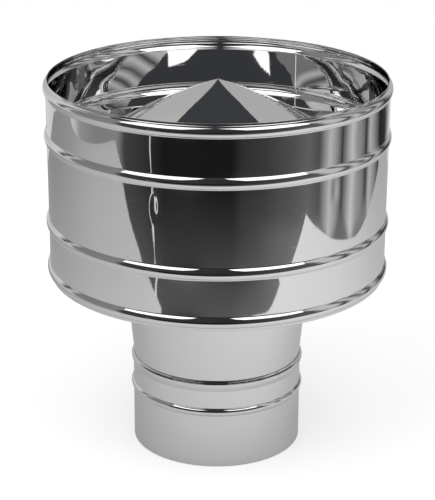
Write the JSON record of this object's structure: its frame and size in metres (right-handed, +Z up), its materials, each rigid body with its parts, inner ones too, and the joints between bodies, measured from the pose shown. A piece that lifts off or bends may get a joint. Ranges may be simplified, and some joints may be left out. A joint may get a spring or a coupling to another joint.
{
  "type": "chimney cowl",
  "caption": "Static draught cowl: an open beaded drum round a widening flue pipe and a conical rain cap, on a spigot that slides into a round flue.",
  "frame": {"origin": "centre of the spigot's lower edge", "axes": "+Z up along the flue's axis; the drum's seam lies at the back right, so -Y is the front"},
  "size_m": [0.3016, 0.3016, 0.3365],
  "materials": {
    "mirror_sheet": "mirror-polished stainless steel sheet",
    "strip_steel": "plain rolled stainless steel strip",
    "rivet_steel": "satin stainless steel blind rivets"
  },
  "bodies": {
    "root": {"drum": "mirror_sheet", "cap": "mirror_sheet", "diffuser": "mirror_sheet", "spigot": "mirror_sheet", "strut_front": "strip_steel", "strut_right": "strip_steel", "strut_back": "strip_steel", "bracket_front": "strip_steel", "bracket_back": "strip_steel", "bracket_left": "strip_steel", "strut_rivet_front_low": "rivet_steel", "strut_rivet_front_high": "rivet_steel", "strut_rivet_right_low": "rivet_steel", "strut_rivet_right_high": "rivet_steel", "strut_rivet_back_low": "rivet_steel", "strut_rivet_back_high": "rivet_steel", "cap_rivet_front_inner": "rivet_steel", "cap_rivet_front_outer": "rivet_steel", "cap_rivet_back_inner": "rivet_steel", "cap_rivet_back_outer": "rivet_steel", "cap_rivet_left_inner": "rivet_steel", "cap_rivet_left_outer": "rivet_steel"}
  },
  "joints": []
}
